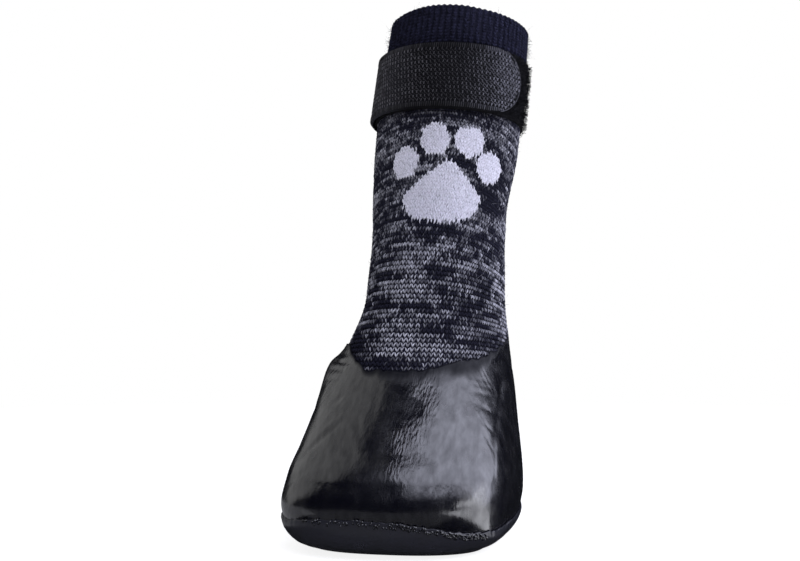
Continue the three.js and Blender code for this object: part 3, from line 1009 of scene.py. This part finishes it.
def sole_cup():
    """The thicker coat: flat underneath, with a rounded rim that runs unevenly round the foot."""
    share = even_shares(690)
    rim = sole_rim(share)
    pebbles = 0.12 * noise(54, share, 0.0, 230, 1)
    rows = []
    for climb in SOLE_CLIMBS:
        level = KNIT_BOTTOM + (rim - 0.9 - KNIT_BOTTOM) * climb
        ripple = 0.06 * noise(53, share, level, 50, 3) * smooth(level, 3, 5)
        row = skin_at(share, level, sole_proud(level) + ripple)
        row[:, 2] = np.maximum(row[:, 2], 0)
        rows.append(row)
    rows[0][:, 2] = 0
    for down, step in SOLE_RIM:
        rows.append(skin_at(share, rim - down, sole_proud(rim) - step + pebbles * (step < 0.7)))
    for climb in (0.75, 0.45, 0.2, 0.1, 0):
        rows.append(skin_at(share, KNIT_BOTTOM + (rim - KNIT_BOTTOM) * climb, SOLE_INNER))
    rows[-1][:, 2] = KNIT_BOTTOM - SOLE_INNER
    piece = make_wall("sole_cup", np.stack(rows), SOLE_RUBBER, capped=True)
    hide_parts("sole")


def dome(rings, sides):
    """The points of a unit half ball, ring by ring from its foot to its crown."""
    tilt = np.linspace(0, 0.97, rings)[:, None] * math.pi / 2
    cosines, sines = circle(sides)
    x, y = np.cos(tilt) * cosines, np.cos(tilt) * sines
    return np.stack([x, y, np.broadcast_to(np.sin(tilt), x.shape)], axis=-1).reshape(-1, 3)


def sole_beads():
    """Small drops of rubber along the sole's rim at the front."""
    rng = np.random.default_rng(10)
    count, rings, sides = 220, 4, 6
    is_right = rng.random(count) < 0.75
    share = rng.uniform(0.53, 0.625, count)
    share = np.where(is_right, share, rng.uniform(0.43, 0.54, count))
    level = sole_rim(share) - rng.uniform(0.0, 1.1, count)
    point, across, up, normal = skin_frames(share, level)
    wide, tall = [rng.uniform(0.25, 0.5, (count, 1, 1)) for _ in range(2)]
    high = rng.uniform(0.3, 0.5, (count, 1, 1))
    x, y, z = np.split(dome(rings, sides)[None], 3, axis=-1)
    foot = point + normal * (sole_proud(level) - 0.15)[:, None, None]
    points = foot + wide * x * across + tall * y * up + high * z * normal
    paint = np.broadcast_to(np.array([1.0, 0.0, 0.0]), (count, 3))
    make_many("sole_beads", points, grid_faces(rings, sides), RUBBER, paint)


# The strap

BAND_EDGE = 0.35  # how much its edges are rounded


def band_base():
    """The loop tape's backing, a closed band round the leg with soft edges."""
    columns = 240
    share = even_shares(columns)
    face, shoulder = BAND_OUTER - BAND_EDGE, BAND_OUTER - 2 * BAND_EDGE
    profile = [(STRAP_LOW, BAND_INNER), (STRAP_LOW, shoulder), (STRAP_LOW + BAND_EDGE, face)]
    profile += [(level, face) for level in np.linspace(STRAP_LOW + 2, STRAP_HIGH - 2, 9)]
    profile += [(STRAP_HIGH - BAND_EDGE, face), (STRAP_HIGH, shoulder), (STRAP_HIGH, BAND_INNER)]
    profile += [(level, BAND_INNER) for level in np.linspace(STRAP_HIGH - 5, STRAP_LOW + 5, 3)]
    rows = []
    for level, offset in profile:
        wave = 0.12 * noise(61, share, level, 40, 4) if offset > BAND_INNER else 0
        rows.append(skin_at(share, np.full(columns, level), offset + wave))
    piece = make_wall("loop_band", np.stack(rows), PILE)
    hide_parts("strap_band")


def band_loops():
    """The pile: small yarn loops, standing every way, where the tab leaves the band bare."""
    rng = np.random.default_rng(11)
    count, rings, sides = 2500, 5, 3
    first, last = TAB_FREE_END - math.radians(28), TAB_SEWN_END + FULL_TURN + math.radians(3)
    angle = rng.uniform(first, last, count)
    level = rng.uniform(STRAP_LOW + 0.15, STRAP_HIGH - 0.15, count)
    point, across, up, normal = skin_frames(share_of(angle, level), level)
    heading = rng.uniform(0, FULL_TURN, (count, 1, 1))
    run = np.cos(heading) * across + np.sin(heading) * up
    aside = np.cross(normal, run)
    turn = np.linspace(0, math.pi, rings)[None, :, None]
    wide = rng.uniform(0.28, 0.6, (count, 1, 1))
    covered = smooth(angle, TAB_FREE_END - 0.05, TAB_FREE_END - 0.3)[:, None, None]
    tall = rng.uniform(0.5, 1.35, (count, 1, 1)) * (1 - 0.8 * covered)
    lean = rng.normal(0, 0.3, (count, 1, 1))
    path = point + normal * (BAND_OUTER - 0.4) + wide * np.cos(turn) * run
    path = path + tall * np.sin(turn) * (normal + lean * aside)
    out = np.cos(turn) * run + np.sin(turn) * normal
    points = tubes(path, 0.06, out, aside, sides)
    make_many("band_loops", points, tube_faces(rings, sides, capped=False), PILE)


TAB_RADIUS = 21.8 + TAB_OUTER  # of the tab's outer face round the leg
TAB_LENGTH = (TAB_FREE_END - TAB_SEWN_END) * TAB_RADIUS
TAB_FACE = TAB_OUTER - 0.25  # of its ground, below the floats
FLOAT_FOOT = TAB_OUTER - 0.28
TAB_EDGE, TAB_EDGE_DROP = 0.5, 0.35  # the width and depth of its rounded edge
SELVEDGE = 1.9
WEAVE_PITCH = 1.32
WEAVE_ROW = 1.3
WEAVE_ROWS = 6  # either side of the middle one
WEAVE_STAGGER = 0.2  # of a pitch, from one row to the next
BAR_HALF, THREAD_HALF, CORD_HALF = 0.17, 0.18, 0.2  # half their widths
THREAD_REACH = 1.58  # how far a slanted thread runs along the tape from one row to the next
CORD_PITCH = 0.68
TAPE_GROUND = np.array([0.0035, 0.0035, 0.0045])
WORN_THREAD = np.array([0.043, 0.042, 0.046])
FRESH_THREAD = np.array([0.15, 0.15, 0.178])


def tab_reach(across):
    """How far the free end lies short of its tip, at a distance across from the tape's middle."""
    return TAB_ROUNDING * (1 - np.sqrt(np.clip(1 - (across / STRAP_HALF) ** 2, 0, 1)))


def tab_half(along):
    """Half the tab's width at a distance along from its free end's tip."""
    return STRAP_HALF * np.sqrt(1 - np.clip(1 - along / TAB_ROUNDING, 0, 1) ** 2)


def tab_at(along, across, offset):
    """A point of the tab. along is from the free end's tip, across from the tape's middle."""
    angle = TAB_FREE_END - along / TAB_RADIUS
    level = STRAP_MIDDLE + across + 0 * along
    return skin_at(share_of(angle, level), level, offset)


def tab_body():
    """The hook tape's plain body: its outer and inner face and the sides between them."""
    columns, rows = 110, 31
    across = STRAP_HALF * np.sin(np.linspace(-0.5, 0.5, rows) * math.pi)
    start = tab_reach(across)[:, None]
    along = TAB_LENGTH + (start - TAB_LENGTH) * np.linspace(0, 1, columns)[None, :] ** 0.8
    across = np.broadcast_to(across[:, None], along.shape)
    edge = np.minimum(STRAP_HALF - np.abs(across), along - start)
    edge = np.minimum(edge, TAB_LENGTH - along)
    face = TAB_FACE - TAB_EDGE_DROP * (1 - smooth(edge, 0, TAB_EDGE))
    wave = 0.1 * noise(62, along / 120, across + STRAP_HALF, 16, 9)
    points = np.stack([tab_at(along, across, face + wave), tab_at(along, across, TAB_INNER)])
    front, uv = grid_faces(rows, columns, closes_round=False)
    back = front[:, ::-1] + rows * columns
    index = np.arange(rows * columns).reshape(rows, columns)
    border = np.concatenate([index[0], index[1:, -1], index[-1, -2::-1], index[-2:0:-1, 0]])
    ahead = np.roll(border, -1)
    sides = np.stack([border, border + rows * columns, ahead + rows * columns, ahead], axis=-1)
    strip = np.stack([even_shares(len(border)), np.full(len(border), 0.96)], axis=-1)[:, None, :]
    side_uv = strip + np.array([[0, 0], [0, 0.03], [0.001, 0.03], [0.001, 0]])
    places = np.concatenate([uv * [0.49, 1], uv * [0.49, 1] + [0.5, 0], side_uv])
    ground = TAPE_GROUND * (1 + 5.5 * smooth(along, 34, 58))[..., None]  # greyer where the weave is worn flat
    colours = np.stack([ground, ground])
    faces = np.concatenate([front, back, sides])
    piece = make_piece("hook_tab", points, faces, places, TAPE, colours)
    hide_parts("strap_tab")


PILLOW_STEPS = np.array([-1.0, -0.6, 0.6, 1.0])
PILLOW_RISES = np.array([-0.25, 1.0, 1.0, -0.25])
PILLOW_FACES = grid_faces(len(PILLOW_STEPS), len(PILLOW_STEPS), closes_round=False)


def pillow(along, across, half_along, half_across, height, tilt):
    """Small raised floats of yarn on the tab's face: points of shape (count, 16, 3)."""
    x, y = np.meshgrid(PILLOW_STEPS, PILLOW_STEPS, indexing="xy")
    lift = np.minimum(PILLOW_RISES[None, :], PILLOW_RISES[:, None])
    place = along[:, None, None] - half_along * x - tilt[:, None, None] * y * half_along
    offset = FLOAT_FOOT + height[:, None, None] * lift
    points = tab_at(place, across[:, None, None] + half_across * y, offset)
    return points.reshape(len(along), -1, 3)


def tab_wear(along):
    """0 on the fresh weave near the free end and 1 where it is worn flat and dark."""
    return smooth(along, 7, 28)


def make_threads(name, points, along, lightness, rng):
    """Floats of the tape's thread, of a share of the fresh thread's lightness, less where it is worn."""
    wear = tab_wear(along)[:, None]
    grime = 1 - 0.5 * bell(along, 26, 11)[:, None]
    spread = rng.uniform(0.4, 1.5, (len(along), 1))
    worn = WORN_THREAD * (2.4 * lightness - 0.6)
    colours = (FRESH_THREAD * lightness * (1 - wear) + worn * wear) * grime * spread
    make_many(name, points, PILLOW_FACES, THREAD, colours)


def tab_weave():
    """The tape's net of upright bars and slanted threads, and the fine cords of its two edges."""
    rng = np.random.default_rng(12)
    rows = np.arange(-WEAVE_ROWS, WEAVE_ROWS + 1)
    row, column = flat_grid(rows, np.arange(-2, int(TAB_LENGTH / WEAVE_PITCH) + 3))
    across = row * WEAVE_ROW
    along = (column + WEAVE_STAGGER * row) * WEAVE_PITCH
    inside = (along > tab_reach(across) + 0.9) & (along < TAB_LENGTH - 3.5)
    along = along[inside] + rng.normal(0, 0.06, inside.sum())
    across = across[inside] + rng.normal(0, 0.06, inside.sum())
    height = 0.42 * (1 - 0.6 * tab_wear(along))
    bars = pillow(along, across + 0.1, BAR_HALF, 0.52, height, rng.normal(0.5, 0.25, len(along)))
    make_threads("tab_bars", bars, along, 1.0, rng)

    joined = along - THREAD_REACH > tab_reach(across - WEAVE_ROW) + 0.4
    joined = joined & (across > -STRAP_HALF + SELVEDGE + 0.6)
    along, across, height = along[joined], across[joined], height[joined]
    slant = rng.normal(-THREAD_REACH / 2, 0.05, len(along)) / THREAD_HALF
    middle = along - THREAD_REACH / 2
    threads = pillow(middle, across - WEAVE_ROW / 2, THREAD_HALF, WEAVE_ROW / 2, 0.8 * height, slant)
    make_threads("tab_threads", threads, along, 0.55, rng)

    cord = np.arange(int(TAB_LENGTH / CORD_PITCH)) * CORD_PITCH
    along = np.concatenate([cord, cord + CORD_PITCH / 2])
    side = np.repeat([1, -1], len(cord))
    inner = STRAP_HALF - SELVEDGE
    outer = np.minimum(STRAP_HALF - 0.2, tab_half(along) - 0.3)
    inside = outer - inner > 0.4
    along, side, outer = along[inside], side[inside], outer[inside]
    height = np.full(len(along), 0.26)
    half = ((outer - inner) / 2)[:, None, None]
    tilt = rng.normal(0.1, 0.1, len(along))
    cords = pillow(along, side * (outer + inner) / 2, CORD_HALF, half, height, tilt)
    make_threads("tab_selvedge", cords, along, 0.5, rng)


def tab_tube(along, across, lift, radius, heading, sides):
    """Rings of points round a thread on the tab, whose outer side points to a heading."""
    cosines, sines = circle(sides)
    out = radius * cosines
    return tab_at(along - out * np.cos(heading), across + out * np.sin(heading), lift + radius * sines)


def tab_rim():
    """The thread that binds the tab's rounded end."""
    rng = np.random.default_rng(14)
    rings, sides = 60, 5
    turn = (np.linspace(-1, 1, rings) * math.radians(72))[:, None]
    across = (STRAP_HALF - 0.25) * np.sin(turn)
    along = tab_reach(across) + 0.3
    girth = 0.2 * rng.uniform(0.7, 1.2, (rings, 1))
    points = tab_tube(along, across, TAB_FACE, girth, turn, sides)
    colours = 0.35 * FRESH_THREAD * rng.uniform(0.4, 1.4, (rings, 1, 1)) + 0 * points
    quads, uv = tube_faces(rings, sides, capped=False)
    make_piece("tab_rim", points, quads, uv, THREAD, colours)


def tab_seam():
    """Two rows of sewing thread that hold the tab's far end on the band."""
    rng = np.random.default_rng(13)
    stitch, row = flat_grid(np.arange(8), np.arange(2))
    count, rings, length, radius = len(row), 6, 1.9, 0.2
    t = np.linspace(0, 1, rings)
    across = (-STRAP_HALF + 1.3 + stitch * 2.3)[:, None] + length * t
    along = (TAB_LENGTH - 1.2 - 1.3 * row)[:, None] + rng.normal(0, 0.08, (count, 1)) + 0 * across
    lift = TAB_OUTER - 0.35 + 0.3 * np.sin(math.pi * t)
    points = tab_tube(along[..., None], across[..., None], lift[:, None], radius, 0, STITCH_SIDES)
    colours = np.broadcast_to(DARK_YARN * 1.5, (count, 3))
    faces = tube_faces(rings, STITCH_SIDES, capped=True)
    make_many("tab_seam", points.reshape(count, -1, 3), faces, YARN, colours)


# Camera, lights and floor

CAMERA_PLACE = Vector((117.3, -497.9, 74.0)) * MM
CAMERA_HEADING = math.radians(13.92)  # to the left of straight ahead
FOCAL_PIXELS = 1738
FRAME_WIDTH = 800
SENSOR = 36.0
SOCK_PLACE = Vector((0, 0, 0.05))
RIGHT_PLACE, LEFT_PLACE, FRONT_PLACE = (0.44, -0.06, 0.50), (-0.54, -0.04, 0.46), (0.08, -0.98, 0.45)
COOL, FAINT_BLUE = (0.81, 0.83, 1.0), (0.9, 0.92, 1.0)
WHITE, CARD_COLOUR = (1.0, 1.0, 1.0), (0.92, 0.93, 1.0)


def add_camera():
    data = bpy.data.cameras.new("camera")
    data.sensor_fit = "HORIZONTAL"
    data.sensor_width = SENSOR
    data.lens = FOCAL_PIXELS / FRAME_WIDTH * SENSOR
    data.clip_start = 0.01
    camera = bpy.data.objects.new("camera", data)
    camera.location = CAMERA_PLACE
    camera.rotation_euler = (math.radians(90), 0, CAMERA_HEADING)
    add_to_scene(camera)
    bpy.context.scene.camera = camera


def area_light(name, place, turn, size, radiance, colour):
    """A flat light that the camera doesn't see."""
    data = bpy.data.lights.new(name, "AREA")
    data.shape = "RECTANGLE"
    data.size, data.size_y = size
    data.energy = radiance * math.pi * size[0] * size[1]
    data.color = colour
    light = bpy.data.objects.new(name, data)
    light.location = place
    light.rotation_euler = turn
    light.visible_camera = False
    add_to_scene(light)
    return light


def add_softbox(name, place, shift, size, roll, radiance, colour):
    """A softbox whose plane passes through place and faces the sock, shifted and rolled in that plane."""
    facing = (SOCK_PLACE - Vector(place)).to_track_quat("-Z", "Y")
    turn = (facing @ Quaternion((0, 0, 1), math.radians(roll))).to_euler()
    return area_light(name, Vector(place) + facing @ Vector((*shift, 0)), turn, size, radiance, colour)


def add_card(name, centre, size, degrees, radiance):
    """A pale card near the sock, which only the rubber's gloss shows."""
    turn = [math.radians(angle) for angle in degrees]
    area_light(name, centre, turn, size, radiance, CARD_COLOUR).visible_diffuse = False


def add_lights():
    add_softbox("softbox_right", RIGHT_PLACE, (0.039, -0.092), (2.1, 0.62), -30, 2.75, COOL)
    add_softbox("softbox_end", RIGHT_PLACE, (-0.40, 0.584), (0.3, 0.11), -30, 2.75, COOL)
    add_softbox("softbox_left", LEFT_PLACE, (-0.171, -0.097), (1.215, 0.63), 40, 0.52, WHITE)
    fill = add_softbox("front_fill", FRONT_PLACE, (0, 0), (0.8, 0.8), 0, 0.95, FAINT_BLUE)
    fill.visible_glossy = False
    add_card("card_right", (0.1513, -0.0084, 0.001), (0.229, 0.074), (180, 0, 29), 2.45)
    add_card("card_left", (-0.12, 0.01, 0.001), (0.16, 0.16), (180, 0, 0), 0.35)
    add_card("card_front", (0.0, -0.125, 0.001), (0.22, 0.13), (180, 0, 0), 0.14)
    add_card("card_side", (0.29, -0.024, 0.026), (0.052, 0.228), (0, 90, 0), 3.6)


def add_world():
    """A bare white room to the camera, and a dim one for light and reflections."""
    world = bpy.data.worlds.new("studio")
    world.use_nodes = True
    tree = world.node_tree
    tree.nodes.clear()
    rays = new_node(tree, "LightPath")
    dim = new_node(tree, "Background", {"Color": (0.9, 0.93, 1.0, 1), "Strength": 0.01})
    bright = new_node(tree, "Background", {"Color": (1, 1, 1, 1), "Strength": 1.0})
    rooms = {1: dim.outputs["Background"], 2: bright.outputs["Background"]}
    mix = new_node(tree, "MixShader", links={"Fac": rays.outputs["Is Camera Ray"], **rooms})
    new_node(tree, "OutputWorld", links={"Surface": mix.outputs["Shader"]})
    bpy.context.scene.world = world


def add_floor():
    radius, drop, corners = 0.55, -0.0002, 96
    mesh = bpy.data.meshes.new("floor")
    rim = [(radius * x, radius * y, drop) for x, y in zip(*circle(corners))]
    mesh.from_pydata(rim, [], [list(range(corners))])
    material, _, shader = new_material("floor", (0.6, 0.6, 0.61), 0.8)
    shader.inputs["Emission Color"].default_value = (1, 1, 1, 1)
    shader.inputs["Emission Strength"].default_value = 0.85
    mesh.materials.append(material)
    floor = bpy.data.objects.new("floor", mesh)
    floor.visible_glossy = False
    add_to_scene(floor)


add_camera()
knit_base()
leg_stitches()
cuff_wall()
cuff_stitches()
knit_fuzz()
rubber_shell()
sole_cup()
sole_beads()
band_base()
band_loops()
tab_body()
tab_weave()
tab_rim()
tab_seam()
add_lights()
add_world()
add_floor()
bpy.context.scene.view_settings.view_transform = "Standard"
